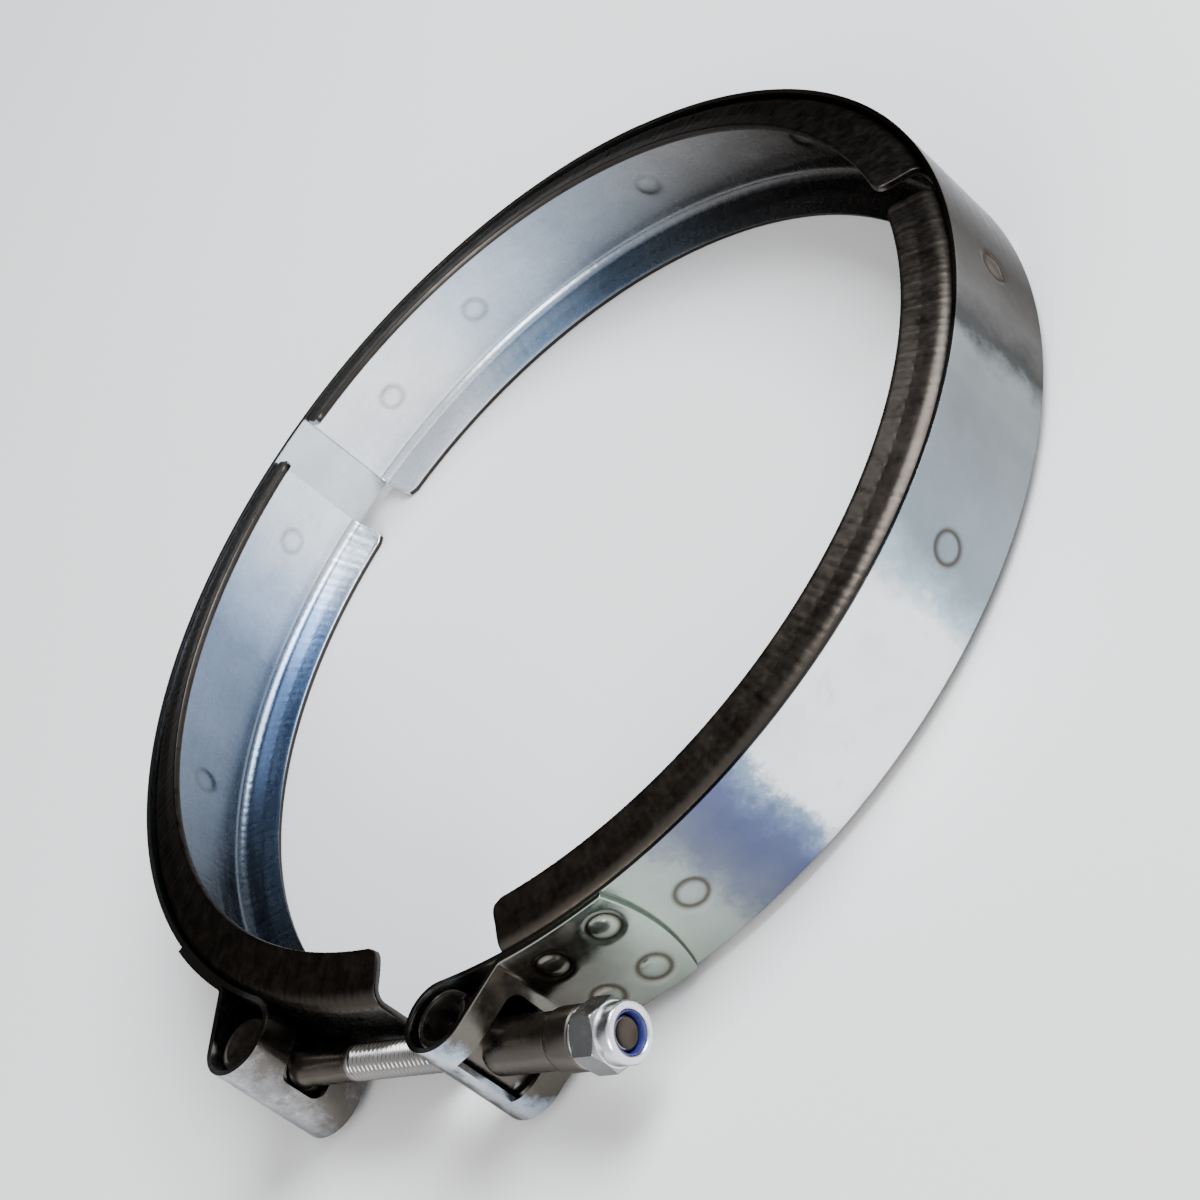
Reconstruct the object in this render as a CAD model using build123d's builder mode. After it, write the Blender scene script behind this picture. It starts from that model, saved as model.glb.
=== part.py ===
from build123d import *
import math
import os

# A V-band clamp. Millimetres. The ring's axis is Z and its centre is the origin.
# The bolt runs along X below the ring (at -Y), its T-head at -X and its nut at +X.

# Outer band
BAND_R = 90.0          # outside radius
BAND_T = 0.9           # sheet thickness
BAND_WIDTH = 22.2
BAND_IN_R = BAND_R - BAND_T
BAND_MID_R = BAND_R - BAND_T / 2
TAIL_R = BAND_R + BAND_T

# V-section retainer
RETAINER_T = 1.2
CORNER_Z = 10.84       # where base and flank would meet, outside surface
FLANK_R = 84.0         # where the flank turns into the flared lip
FLANK_Z = 12.1
LIP_R = 80.75          # tip of the lip
LIP_Z = 13.2
LIP_BORE_R = 80.6      # the lips' inner rims, where a pipe passes through
BEND_R = 2.6           # outside bend radius
LIP_ROUND = 2.4        # rounding of the lip's end corners

# Where each piece starts and ends round the ring, in degrees
TOP_SPAN = (38.1, 151.8)
LEFT_SPAN = (158.0, 272.8)
RIGHT_SPAN = (-69.8, 33.7)
LEFT_BAND_END = 253.5
RIGHT_BAND_END = -77.5

# Bolt end loops of the band
BOLT_Y = -92.8
HEAD_X = -26.9
TRUNNION_X = 21.2
LOOP_R = 6.5           # outside of the loops
FOLD_R = 1.2           # hollow bend where a loop comes back onto the band
LEFT_LEG_HEADING = 105.6
LEFT_TAIL_END = 235.0
LEFT_SLOT_X = (-26.0, -19.5)
LEFT_SLOT_Y = (-96.7, -87.3)
LEFT_SLOT_WIDTH = 9.0
RIGHT_LEG_HEADING = 66.9
RIGHT_TAIL_END = -57.0
RIGHT_SLOT_X = (13.5, 20.5)
RIGHT_SLOT_Y = (-98.0, -88.0)
RIGHT_SLOT_WIDTH = 9.0
WINDOW_X = (23.4, 34.0)
WINDOW_Y = (-100.0, -87.1)
WINDOW_WIDTH = 12.4
SLOT_ROUND = 2.0

# T-bolt, M6 on the thread's outside
BOLT_R = 2.97
BOLT_END_X = 51.2
BOLT_CHAMFER = 0.6
HEAD_R = 4.8
HEAD_LENGTH = 19.0
HEAD_CHAMFER = 0.6

# Trunnion: barrel across, sleeve and collar along the bolt
BORE_R = 3.4
BARREL_R = 4.75
BARREL_WALL = 0.9
BARREL_LENGTH = 20.0
SLEEVE_R = 4.45
SLEEVE_END_X = 38.0
SEAM_WIDTH = 0.8
COLLAR_R = 5.0
COLLAR_END_X = 43.5

# Nut and its nylon ring
NUT_FLATS = 10.0
NUT_START_X = 43.6
NUT_BASE_R = 4.9
HEX_START_X = 44.2
HEX_END_X = 49.3
RIM_R = 4.77
RIM_END_X = 52.3
NUT_BORE_R = 3.1
RIM_BORE_R = 3.9
RING_R = 3.88
RING_START_X = 49.7
RING_END_X = 51.9

# Spot welds on the outside of the band, in degrees, and the ring that each leaves
RIGHT_WELDS = (-51.5, -10.4, 25.4)
LEFT_WELDS = (165.0, 200.1, 228.0)
TOP_WELDS = (48.0, 73.7, 99.4, 121.0, 143.0)
WELD_OUT_R = 2.9
WELD_IN_R = 1.9
WELD_DEPTH = 0.25

os.makedirs("parts", exist_ok=True)


def at(radius, degrees):
    """A point of the XY plane at that radius and angle."""
    return (radius * math.cos(math.radians(degrees)), radius * math.sin(math.radians(degrees)))


def half_plane(degrees):
    """The plane through Z at that angle: local x is the radius, local y is Z."""
    angle = math.radians(degrees)
    return Plane(
        origin=(0, 0, 0),
        x_dir=(math.cos(angle), math.sin(angle), 0),
        z_dir=(math.sin(angle), -math.cos(angle), 0),
    )


def tangent_plane(radius, degrees):
    """The plane that touches the ring there, facing outwards."""
    x, y = at(radius, degrees)
    out_x, out_y = at(1, degrees)
    return Plane(origin=(x, y, 0), x_dir=(0, 0, 1), z_dir=(out_x, out_y, 0))


def band_section(degrees):
    """The band's cross-section at that angle."""
    with BuildSketch(half_plane(degrees)) as section:
        with Locations((BAND_MID_R, 0)):
            Rectangle(BAND_T, BAND_WIDTH)
    return section.sketch


def weld_ring(degrees):
    """The ring that a spot weld leaves, drawn just outside the band."""
    with BuildSketch(tangent_plane(BAND_R + 1, degrees)) as ring:
        Circle(WELD_OUT_R)
        Circle(WELD_IN_R, mode=Mode.SUBTRACT)
    return ring.sketch


def slot_section(x, y_range, width):
    """A round-cornered slot across the bolt, drawn at that X."""
    with BuildSketch(Plane.YZ.offset(x)) as section:
        with Locations(((y_range[0] + y_range[1]) / 2, 0)):
            RectangleRounded(y_range[1] - y_range[0], width, radius=SLOT_ROUND)
    return section.sketch


def curl_off_band(degrees, side_x):
    """The bend that leaves the ring outwards at that angle and ends going straight down at side_x: (centre, radius)."""
    start_x, start_y = at(BAND_IN_R, degrees)
    out_x, out_y = at(1, degrees)
    side = math.copysign(1, side_x - start_x)
    radius = (side_x - start_x) / (out_x + side)
    return (start_x + radius * out_x, start_y + radius * out_y), radius


def fold_onto_band(point, heading, turn):
    """Where a straight leg from that point bends onto the band's outside: (end of the leg, centre of the bend)."""
    along_x, along_y = at(1, heading)
    side_x, side_y = at(FOLD_R, heading + 90 * turn)
    x, y = point.X + side_x, point.Y + side_y
    reach = TAIL_R + FOLD_R
    nearest = -(x * along_x + y * along_y)
    length = nearest - math.sqrt(nearest**2 - (x * x + y * y - reach * reach))
    centre = (x + length * along_x, y + length * along_y)
    return (point.X + length * along_x, point.Y + length * along_y), centre


def retainer(span):
    """One V-section segment, from the first angle to the second."""
    start, end = span
    with BuildPart() as segment:
        with BuildSketch(half_plane(start)):
            with BuildLine():
                FilletPolyline(
                    (LIP_R, -LIP_Z),
                    (FLANK_R, -FLANK_Z),
                    (BAND_IN_R, -CORNER_Z),
                    (BAND_IN_R, CORNER_Z),
                    (FLANK_R, FLANK_Z),
                    (LIP_R, LIP_Z),
                    radius=BEND_R,
                )
                offset(amount=RETAINER_T, side=Side.LEFT)
            make_face()
        revolve(axis=Axis.Z, revolution_arc=end - start)
        lip_corners = segment.edges().filter_by(lambda edge: abs(edge.length - RETAINER_T) < 0.01)
        fillet(lip_corners, radius=LIP_ROUND)
        with BuildSketch(Plane.XY.offset(-LIP_Z)):
            Circle(LIP_BORE_R)
        extrude(amount=2 * LIP_Z, mode=Mode.SUBTRACT)
    return segment


# ---- Retainer segments ----

retainer_top = retainer(TOP_SPAN)
retainer_left = retainer(LEFT_SPAN)
retainer_right = retainer(RIGHT_SPAN)

# ---- Band: the top, and the two strips that flex between the segments ----

with BuildPart() as band_top:
    revolve(band_section(TOP_SPAN[0]), Axis.Z, TOP_SPAN[1] - TOP_SPAN[0])
    for weld in TOP_WELDS:
        extrude(weld_ring(weld), amount=-(1 + WELD_DEPTH), mode=Mode.SUBTRACT)

with BuildPart() as flex_strip_left:
    revolve(band_section(TOP_SPAN[1]), Axis.Z, LEFT_SPAN[0] - TOP_SPAN[1])

with BuildPart() as flex_strip_right:
    revolve(band_section(RIGHT_SPAN[1]), Axis.Z, TOP_SPAN[0] - RIGHT_SPAN[1])

# ---- Band, left: round the T-head and back onto its own outside ----

with BuildPart() as band_left:
    with BuildSketch(Plane.XY.offset(-BAND_WIDTH / 2)):
        with BuildLine():
            CenterArc((0, 0), BAND_IN_R, LEFT_SPAN[0], LEFT_BAND_END - LEFT_SPAN[0])
            curl_centre, curl_r = curl_off_band(LEFT_BAND_END, HEAD_X + LOOP_R)
            curl = CenterArc(curl_centre, curl_r, LEFT_BAND_END - 180, 180 - LEFT_BAND_END)
            Line(curl @ 1, (HEAD_X + LOOP_R, BOLT_Y))
            under = CenterArc((HEAD_X, BOLT_Y), LOOP_R, 0, LEFT_LEG_HEADING - 270)
            offset(amount=BAND_T, side=Side.RIGHT)
        make_face()
    extrude(amount=BAND_WIDTH)
    with BuildSketch(Plane.XY.offset(-BAND_WIDTH / 2)):
        with BuildLine():
            leg_end, fold_centre = fold_onto_band(under @ 1, LEFT_LEG_HEADING, 1)
            Line(under @ 1, leg_end)
            tail_start = math.degrees(math.atan2(fold_centre[1], fold_centre[0]))
            fold_start = LEFT_LEG_HEADING - 90
            CenterArc(fold_centre, FOLD_R, fold_start, tail_start + 180 - fold_start)
            CenterArc((0, 0), TAIL_R, tail_start, LEFT_TAIL_END - 360 - tail_start)
            offset(amount=BAND_T, side=Side.RIGHT)
        make_face()
    extrude(amount=BAND_WIDTH)
    left_slot = slot_section(LEFT_SLOT_X[0], LEFT_SLOT_Y, LEFT_SLOT_WIDTH)
    extrude(left_slot, amount=LEFT_SLOT_X[1] - LEFT_SLOT_X[0], mode=Mode.SUBTRACT)
    for weld in LEFT_WELDS:
        extrude(weld_ring(weld), amount=-(1 + WELD_DEPTH), mode=Mode.SUBTRACT)

# ---- Band, right: round the trunnion and back onto its own outside ----

with BuildPart() as band_right:
    with BuildSketch(Plane.XY.offset(-BAND_WIDTH / 2)):
        with BuildLine():
            CenterArc((0, 0), BAND_IN_R, RIGHT_SPAN[1], RIGHT_BAND_END - RIGHT_SPAN[1])
            curl_centre, curl_r = curl_off_band(RIGHT_BAND_END, TRUNNION_X - LOOP_R)
            curl = CenterArc(curl_centre, curl_r, RIGHT_BAND_END + 180, -RIGHT_BAND_END)
            Line(curl @ 1, (TRUNNION_X - LOOP_R, BOLT_Y))
            under = CenterArc((TRUNNION_X, BOLT_Y), LOOP_R, 180, RIGHT_LEG_HEADING + 90)
            offset(amount=BAND_T, side=Side.LEFT)
        make_face()
    extrude(amount=BAND_WIDTH)
    with BuildSketch(Plane.XY.offset(-BAND_WIDTH / 2)):
        with BuildLine():
            leg_end, fold_centre = fold_onto_band(under @ 1, RIGHT_LEG_HEADING, -1)
            Line(under @ 1, leg_end)
            tail_start = math.degrees(math.atan2(fold_centre[1], fold_centre[0]))
            fold_start = RIGHT_LEG_HEADING + 90
            CenterArc(fold_centre, FOLD_R, fold_start, tail_start + 180 - fold_start)
            CenterArc((0, 0), TAIL_R, tail_start, RIGHT_TAIL_END - tail_start)
            offset(amount=BAND_T, side=Side.LEFT)
        make_face()
    extrude(amount=BAND_WIDTH)
    right_slot = slot_section(RIGHT_SLOT_X[0], RIGHT_SLOT_Y, RIGHT_SLOT_WIDTH)
    extrude(right_slot, amount=RIGHT_SLOT_X[1] - RIGHT_SLOT_X[0], mode=Mode.SUBTRACT)
    window = slot_section(WINDOW_X[0], WINDOW_Y, WINDOW_WIDTH)
    extrude(window, amount=WINDOW_X[1] - WINDOW_X[0], mode=Mode.SUBTRACT)
    for weld in RIGHT_WELDS:
        extrude(weld_ring(weld), amount=-(1 + WELD_DEPTH), mode=Mode.SUBTRACT)

# ---- T-bolt: a round cross head on a threaded shank ----

with BuildPart() as t_bolt:
    with BuildSketch(Plane.XY.offset(-HEAD_LENGTH / 2)):
        with Locations((HEAD_X, BOLT_Y)):
            Circle(HEAD_R)
    extrude(amount=HEAD_LENGTH)
    chamfer(t_bolt.edges().filter_by(GeomType.CIRCLE), length=HEAD_CHAMFER)
    with BuildSketch(Plane.YZ.offset(HEAD_X)):
        with Locations((BOLT_Y, 0)):
            Circle(BOLT_R)
    extrude(amount=BOLT_END_X - HEAD_X)
    chamfer(t_bolt.edges().sort_by(Axis.X)[-1], length=BOLT_CHAMFER)

# ---- Trunnion: a rolled barrel with a seamed sleeve and a collar for the nut ----

with BuildPart() as trunnion:
    with BuildSketch(Plane.YZ.offset(TRUNNION_X)):
        with Locations((BOLT_Y, 0)):
            Circle(SLEEVE_R)
    extrude(amount=SLEEVE_END_X - TRUNNION_X)
    with BuildSketch(Plane.YZ.offset(SLEEVE_END_X)):
        with Locations((BOLT_Y, 0)):
            Circle(COLLAR_R)
    extrude(amount=COLLAR_END_X - SLEEVE_END_X)
    with BuildSketch(Plane.XY.offset(-BARREL_LENGTH / 2)):
        with Locations((TRUNNION_X, BOLT_Y)):
            Circle(BARREL_R)
    extrude(amount=BARREL_LENGTH)
    with BuildSketch(Plane.XY.offset(-BARREL_LENGTH / 2)):
        with Locations((TRUNNION_X, BOLT_Y)):
            Circle(BARREL_R - BARREL_WALL)
    extrude(amount=BARREL_LENGTH, mode=Mode.SUBTRACT)
    with BuildSketch(Plane.YZ.offset(TRUNNION_X - BARREL_R - 1)):
        with Locations((BOLT_Y, 0)):
            Circle(BORE_R)
    extrude(amount=COLLAR_END_X - TRUNNION_X + BARREL_R + 2, mode=Mode.SUBTRACT)
    with BuildSketch(Plane.XZ.offset(-BOLT_Y)):
        with Locations(((TRUNNION_X + BARREL_R + SLEEVE_END_X) / 2, 0)):
            Rectangle(SLEEVE_END_X - TRUNNION_X - BARREL_R - 1, SEAM_WIDTH)
    extrude(amount=-(SLEEVE_R + 1), mode=Mode.SUBTRACT)

# ---- Nut: a round base, a hexagon and a round rim that holds the nylon ring ----

with BuildPart() as nut:
    with BuildSketch(Plane.YZ.offset(NUT_START_X)):
        with Locations((BOLT_Y, 0)):
            Circle(NUT_BASE_R)
    extrude(amount=HEX_START_X - NUT_START_X)
    with BuildSketch(Plane.YZ.offset(HEX_START_X)):
        with Locations((BOLT_Y, 0)):
            RegularPolygon(NUT_FLATS / 2, 6, major_radius=False, rotation=30)
    extrude(amount=HEX_END_X - HEX_START_X)
    with BuildSketch(Plane.YZ.offset(HEX_END_X)):
        with Locations((BOLT_Y, 0)):
            Circle(RIM_R)
    extrude(amount=RIM_END_X - HEX_END_X)
    with BuildSketch(Plane.YZ.offset(NUT_START_X)):
        with Locations((BOLT_Y, 0)):
            Circle(NUT_BORE_R)
    extrude(amount=RIM_END_X - NUT_START_X, mode=Mode.SUBTRACT)
    with BuildSketch(Plane.YZ.offset(RING_START_X)):
        with Locations((BOLT_Y, 0)):
            Circle(RIM_BORE_R)
    extrude(amount=RIM_END_X - RING_START_X, mode=Mode.SUBTRACT)

with BuildPart() as nylon_ring:
    with BuildSketch(Plane.YZ.offset(RING_START_X)):
        with Locations((BOLT_Y, 0)):
            Circle(RING_R)
            Circle(NUT_BORE_R, mode=Mode.SUBTRACT)
    extrude(amount=RING_END_X - RING_START_X)

pieces = {
    "band_top": band_top,
    "flex_strip_left": flex_strip_left,
    "flex_strip_right": flex_strip_right,
    "band_left": band_left,
    "band_right": band_right,
    "retainer_top": retainer_top,
    "retainer_left": retainer_left,
    "retainer_right": retainer_right,
    "t_bolt": t_bolt,
    "trunnion": trunnion,
    "nut": nut,
    "nylon_ring": nylon_ring,
}
for name, piece in pieces.items():
    piece.part.label = name
    export_step(piece.part, f"parts/{name}.step")
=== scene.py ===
import math

import bmesh
import bpy
import numpy as np
from mathutils import Matrix, Vector


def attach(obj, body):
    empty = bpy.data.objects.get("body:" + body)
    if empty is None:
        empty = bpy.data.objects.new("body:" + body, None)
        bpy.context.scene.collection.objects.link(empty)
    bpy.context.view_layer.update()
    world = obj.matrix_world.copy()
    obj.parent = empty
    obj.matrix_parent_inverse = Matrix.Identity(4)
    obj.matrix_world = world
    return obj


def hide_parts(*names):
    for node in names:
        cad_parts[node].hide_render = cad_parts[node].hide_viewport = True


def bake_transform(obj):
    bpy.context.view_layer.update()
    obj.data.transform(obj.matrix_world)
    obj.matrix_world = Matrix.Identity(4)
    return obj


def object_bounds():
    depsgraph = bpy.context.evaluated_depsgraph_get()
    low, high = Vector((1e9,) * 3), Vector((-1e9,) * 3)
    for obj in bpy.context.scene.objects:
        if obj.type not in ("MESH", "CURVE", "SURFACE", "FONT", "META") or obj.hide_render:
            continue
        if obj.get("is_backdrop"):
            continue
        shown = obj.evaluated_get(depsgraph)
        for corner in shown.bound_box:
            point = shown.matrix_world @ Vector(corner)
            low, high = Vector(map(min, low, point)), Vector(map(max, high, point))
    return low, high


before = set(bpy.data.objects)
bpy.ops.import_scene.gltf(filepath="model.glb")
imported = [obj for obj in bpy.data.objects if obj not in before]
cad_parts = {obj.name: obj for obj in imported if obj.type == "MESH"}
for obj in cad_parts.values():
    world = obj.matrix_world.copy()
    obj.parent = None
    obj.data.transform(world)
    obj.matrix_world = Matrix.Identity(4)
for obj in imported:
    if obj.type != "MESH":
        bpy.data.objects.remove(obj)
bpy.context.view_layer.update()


# ---- Band ----
# One strip of cold-rolled stainless strap, 22.2 x 0.9 mm, with sheared and tumbled edges.
# It is folded back at each end into a loop for the bolt hardware and spot-welded to itself.
# It bends in the gaps between the retainers, and each half runs unbroken across its own gap.

MM = 0.001  # Sizes are written in millimetres, and this turns them into metres.
BAND_MID_R = 89.55
BAND_T = 0.9
BAND_HALF_WIDTH = 11.1
BAND_EDGE_R = 0.13
BAND_CELLS = 56
TAIL_MID_R = BAND_MID_R + BAND_T
BOLT_Y = -92.8
HEAD_X = -26.9
TRUNNION_X = 21.2
LOOP_MID_R = 6.05
FOLD_MID_R = 1.65
TAIL_BULGE = 1.9
SEAM_ANGLE = 95.0
SEAM_OVERLAP = 0.35
SEAM_TUCK = 0.02
WELD_GROOVE_R = 2.55
WELD_GROOVE_WIDTH = 0.6
WELD_GROOVE_DEPTH = 0.3
WELD_GROOVE_LIMIT = 5
WELD_BUTTON_HEIGHT = 0.12
WELD_BUTTON_R = 1.5
WELD_SPAN_DEGREES = 2.4
WELD_POINTS = 27
RING_STEP_DEGREES = 0.8
BEND_STEP = 0.45
LEG_STEP = 0.5
FOLD_STEP = 0.25


def polar(radius, degrees):
    """The point at that radius and angle."""
    return np.array([radius * math.cos(math.radians(degrees)), radius * math.sin(math.radians(degrees))])


def arc(centre, radius, start, end, step):
    """Points and headings along an arc, in degrees, counter-clockwise where end is larger."""
    count = max(2, math.ceil(abs(end - start) * math.pi / 180 * radius / step) + 1)
    turn = 90 if end > start else -90
    return [(np.array(centre) + polar(radius, a), a + turn) for a in np.linspace(start, end, count)]


def run(start, end, step):
    """Points and headings along a straight line."""
    across = np.subtract(end, start)
    count = max(2, math.ceil(np.linalg.norm(across) / step) + 1)
    heading = math.degrees(math.atan2(across[1], across[0]))
    return [(np.array(start) + across * t, heading) for t in np.linspace(0, 1, count)]


def ring_arc(start, end, welds):
    """The band's own circle, with closer points beside each spot weld."""
    count = math.ceil(abs(end - start) / RING_STEP_DEGREES) + 1
    coarse = [start, SEAM_ANGLE, *np.linspace(SEAM_ANGLE, end, count)[1:]]
    kept = [a for a in coarse if all(abs(a - w) > WELD_SPAN_DEGREES for w in welds)]
    beside = np.linspace(-WELD_SPAN_DEGREES, WELD_SPAN_DEGREES, WELD_POINTS)
    fine = [w + d for w in welds for d in beside if min(start, end) < w + d < max(start, end)]
    turn = 90 if end > start else -90
    angles = sorted(set(kept + fine), reverse=end < start)
    return [(polar(BAND_MID_R, a), a + turn) for a in angles]


def curl(degrees, side_x):
    """Centre and radius of the bend that leaves the ring there and ends going straight down at side_x."""
    start, out = polar(BAND_MID_R, degrees), polar(1, degrees)
    radius = (side_x - start[0]) / (out[0] + math.copysign(1, side_x - start[0]))
    return start + radius * out, radius


def fold(point, heading, turn):
    """The straight leg's end and the centre of the bend that lays it on the band's outside."""
    along, side = polar(1, heading), polar(FOLD_MID_R, heading + 90 * turn)
    shifted, reach = point + side, TAIL_MID_R + FOLD_MID_R
    nearest = -shifted @ along
    length = nearest - math.sqrt(nearest**2 - (shifted @ shifted - reach**2))
    return point + along * length, shifted + along * length


def joined(*parts):
    """The parts end to end, without the points that they share."""
    line = list(parts[0])
    for part in parts[1:]:
        line += part[1:]
    return line


def finish_sheet(name, points, thickness, edge, scorch_and_shade=None, cutter=None):
    """A sheet through a grid of points (mm), with its thickness, rounded edges and the cutter's holes."""
    rows, columns = points.shape[:2]
    mesh = bpy.data.meshes.new(name)
    faces = [
        (i * columns + j, (i + 1) * columns + j, (i + 1) * columns + j + 1, i * columns + j + 1)
        for i in range(rows - 1)
        for j in range(columns - 1)
    ]
    mesh.from_pydata((points.reshape(-1, 3) * MM).tolist(), [], faces)
    mesh.validate()
    if scorch_and_shade is not None:
        scorch_and_shade_layer = mesh.attributes.new("scorch_and_shade", "FLOAT", "POINT")
        scorch_and_shade_layer.data.foreach_set("value", scorch_and_shade.ravel().astype(np.float32))
    sheet = bpy.data.objects.new(name, mesh)
    bpy.context.scene.collection.objects.link(sheet)
    wall = sheet.modifiers.new("wall", "SOLIDIFY")
    wall.thickness = thickness * MM
    wall.offset = 0
    wall.use_even_offset = True
    rounding = sheet.modifiers.new("rounding", "BEVEL")
    rounding.width = edge * MM
    rounding.segments = 2
    rounding.limit_method = "ANGLE"
    rounding.angle_limit = math.radians(50)
    if cutter:
        pierced = sheet.modifiers.new("pierced", "BOOLEAN")
        pierced.operation = "DIFFERENCE"
        pierced.object = cutter
        pierced.solver = "EXACT"
    settle(sheet)
    if cutter:
        bpy.data.objects.remove(cutter)
    return sheet


def slot_punch(slots):
    """A punch with a blade for each slot: ((x from, to), (y from, to), width, corner radius), in mm."""
    punch = bmesh.new()
    for x_range, y_range, width, corner in slots:
        outline = []
        for turn, y_side, z_side in ((0, 1, 1), (90, 0, 1), (180, 0, -1), (270, 1, -1)):
            centre = (y_range[y_side] - (corner if y_side else -corner), z_side * (width / 2 - corner))
            outline += [np.array(centre) + polar(corner, turn + step) for step in range(0, 91, 10)]
        rings = [[punch.verts.new(Vector((x, *point)) * MM) for point in outline] for x in x_range]
        punch.faces.new(reversed(rings[0]))
        punch.faces.new(rings[1])
        for k in range(len(outline)):
            after = (k + 1) % len(outline)
            punch.faces.new((rings[0][k], rings[0][after], rings[1][after], rings[1][k]))
    bmesh.ops.recalc_face_normals(punch, faces=punch.faces)
    mesh = bpy.data.meshes.new("slot_punch")
    punch.to_mesh(mesh)
    punch.free()
    tool = bpy.data.objects.new("slot_punch", mesh)
    bpy.context.scene.collection.objects.link(tool)
    return tool


def settle(piece, sharp=38):
    """Applies a piece's modifiers and smooths it up to that angle."""
    bpy.context.view_layer.update()
    made = bpy.data.meshes.new_from_object(piece.evaluated_get(bpy.context.evaluated_depsgraph_get()))
    made.name = piece.name
    piece.modifiers.clear()
    piece.data = made
    made.shade_smooth()
    made.set_sharp_from_angle(angle=math.radians(sharp))


def strap(name, line, tail_rows, welds, tail_welds, slots):
    """One half of the band along that line, with spot welds at (degrees, z) on the ring and on its tail."""
    z = np.linspace(-BAND_HALF_WIDTH, BAND_HALF_WIDTH, BAND_CELLS + 1)
    rows = len(line)
    xy = np.array([p for p, _ in line])
    heading = np.radians([h for _, h in line])
    along = np.stack([np.cos(heading), np.sin(heading)], 1)
    out = xy / np.linalg.norm(xy, axis=1)[:, None]
    points = np.zeros((rows, len(z), 3))
    bulge = TAIL_BULGE * (1 - (z / BAND_HALF_WIDTH) ** 2)
    for i in range(rows):
        share = max(0, (i - (rows - tail_rows)) / (tail_rows - 1))
        points[i, :, 0] = xy[i, 0] + along[i, 0] * bulge * share
        points[i, :, 1] = xy[i, 1] + along[i, 1] * bulge * share
        points[i, :, 2] = z
    tucked = np.abs(np.cumsum([0, *np.linalg.norm(np.diff(xy, axis=0), axis=1)])) < SEAM_OVERLAP * 1.5
    points[tucked, :, :2] *= 1 - SEAM_TUCK / BAND_MID_R
    points[tucked, :, 2] *= 1 - SEAM_TUCK / BAND_HALF_WIDTH
    scorch_and_shade = np.zeros((rows, len(z)))
    tail = np.arange(rows) >= rows - tail_rows
    for on_tail, marks in ((False, welds), (True, tail_welds)):
        for degrees, weld_z in marks:
            centre = polar(TAIL_MID_R if on_tail else BAND_MID_R, degrees)
            here = tail == on_tail
            flat = points[:, :, :2] - centre
            reach = np.sqrt((flat**2).sum(2) + (z[None, :] - weld_z) ** 2)
            groove = np.exp(-(((reach - WELD_GROOVE_R) / WELD_GROOVE_WIDTH) ** 2))
            groove = np.where(here[:, None] & (reach < WELD_GROOVE_LIMIT), groove, 0)
            button = WELD_BUTTON_HEIGHT * np.exp(-((reach / WELD_BUTTON_R) ** 4))
            depth = np.where(here[:, None], button, 0) - WELD_GROOVE_DEPTH * groove
            # The dark weld ring follows the groove: partly heat tint, partly painted shade in the groove.
            scorch_and_shade = np.maximum(scorch_and_shade, groove)
            points[:, :, :2] += depth[:, :, None] * out[:, None, :]
    return finish_sheet(name, points, BAND_T, BAND_EDGE_R, scorch_and_shade, slot_punch(slots))


def mixed(nodes, links, factor, dark, light):
    """A colour between two, by a factor socket."""
    ramp = nodes.new("ShaderNodeMix")
    ramp.data_type = "RGBA"
    ramp.inputs[6].default_value = (*dark, 1)
    ramp.inputs[7].default_value = (*light, 1)
    links.new(factor, ramp.inputs[0])
    return ramp.outputs[2]


def ranged(nodes, links, value, low, high, to_low, to_high):
    """A number moved from one range to another, and held inside it."""
    step = nodes.new("ShaderNodeMapRange")
    for slot, number in zip(range(1, 5), (low, high, to_low, to_high)):
        step.inputs[slot].default_value = number
    links.new(value, step.inputs[0])
    return step.outputs[0]


def noise(nodes, links, vector, scale, detail=4.0, roughness=0.55):
    """A noise texture's value over those coordinates."""
    texture = nodes.new("ShaderNodeTexNoise")
    texture.inputs["Scale"].default_value = scale
    texture.inputs["Detail"].default_value = detail
    texture.inputs["Roughness"].default_value = roughness
    links.new(vector, texture.inputs["Vector"])
    return texture.outputs["Fac"]


def round_the_ring(nodes, links, stretch):
    """Stretched coordinates along, across and out of the ring, the plain ones, and the turn from 0 to 1."""
    place = nodes.new("ShaderNodeTexCoord").outputs["Object"]
    parts = nodes.new("ShaderNodeSeparateXYZ")
    links.new(place, parts.inputs[0])
    angle = nodes.new("ShaderNodeMath")
    angle.operation = "ARCTAN2"
    links.new(parts.outputs["Y"], angle.inputs[0])
    links.new(parts.outputs["X"], angle.inputs[1])
    turn = ranged(nodes, links, angle.outputs[0], -math.pi, math.pi, 0, 1)
    half_way = math.pi * BAND_MID_R * MM
    length = ranged(nodes, links, turn, 0, 1, -half_way, half_way)
    flat = nodes.new("ShaderNodeCombineXYZ")
    links.new(parts.outputs["X"], flat.inputs[0])
    links.new(parts.outputs["Y"], flat.inputs[1])
    radius = nodes.new("ShaderNodeVectorMath")
    radius.operation = "LENGTH"
    links.new(flat.outputs[0], radius.inputs[0])
    together = nodes.new("ShaderNodeCombineXYZ")
    links.new(length, together.inputs[0])
    links.new(parts.outputs["Z"], together.inputs[1])
    links.new(radius.outputs["Value"], together.inputs[2])
    scaled = nodes.new("ShaderNodeMapping")
    scaled.inputs["Scale"].default_value = stretch
    links.new(together.outputs[0], scaled.inputs["Vector"])
    return scaled.outputs[0], place, turn


def maths(nodes, links, operation, first, second):
    """Two numbers, each a socket or a value, put together."""
    step = nodes.new("ShaderNodeMath")
    step.operation = operation
    for slot, number in ((0, first), (1, second)):
        if isinstance(number, (int, float)):
            step.inputs[slot].default_value = number
        else:
            links.new(number, step.inputs[slot])
    return step.outputs[0]


def blended(nodes, links, factor, base, over):
    """A colour socket with a plain colour laid over it."""
    layer = nodes.new("ShaderNodeMix")
    layer.data_type = "RGBA"
    layer.inputs[7].default_value = (*over, 1)
    links.new(factor, layer.inputs[0])
    links.new(base, layer.inputs[6])
    return layer.outputs[2]


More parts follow.
